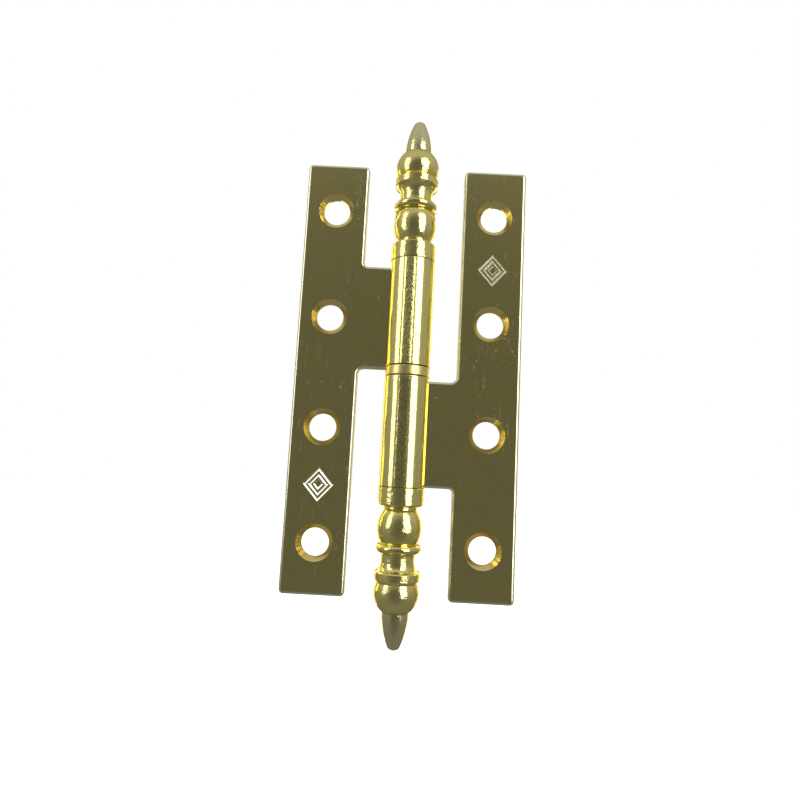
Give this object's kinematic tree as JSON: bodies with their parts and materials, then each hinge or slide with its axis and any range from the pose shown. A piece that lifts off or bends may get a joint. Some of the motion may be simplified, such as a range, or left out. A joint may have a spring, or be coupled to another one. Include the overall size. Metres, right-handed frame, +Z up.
{
  "type": "door hinge",
  "caption": "Lift-off door hinge with flat countersunk leaves, a rolled barrel with a thrust ring, and turned pointed finials.",
  "frame": {"origin": "on the pin axis at mid height of the thrust ring, which is the centre of the open hinge's box", "axes": "+Z up the pin, along which the door leaf lifts off; +X towards the frame leaf with the hinge open flat; +Y towards the leaves' flat backs"},
  "size_m": [0.0728, 0.014, 0.1668],
  "materials": {
    "plated_leaf": "polished brass plating on steel sheet, fine scratches",
    "plated_turning": "polished brass plating on turned steel",
    "ring_brass": "plain turned brass, satin",
    "pin_steel": "ground steel with a film of grease"
  },
  "bodies": {
    "frame_side": {"frame_leaf": "plated_leaf", "hinge_pin": "pin_steel", "lower_finial": "plated_turning"},
    "ring": {"thrust_ring": "ring_brass"},
    "door_side": {"door_leaf": "plated_leaf", "upper_finial": "plated_turning"}
  },
  "joints": [
    {"name": "swing", "type": "hinge", "parent": "frame_side", "child": "ring", "pos_m": [0, 0, 0], "axis": [0, 0, 1], "range_deg": [-120, 180]},
    {"name": "lift_off", "type": "slide", "parent": "ring", "child": "door_side", "axis": [0, 0, 1], "range_m": [0, 0.03]}
  ]
}
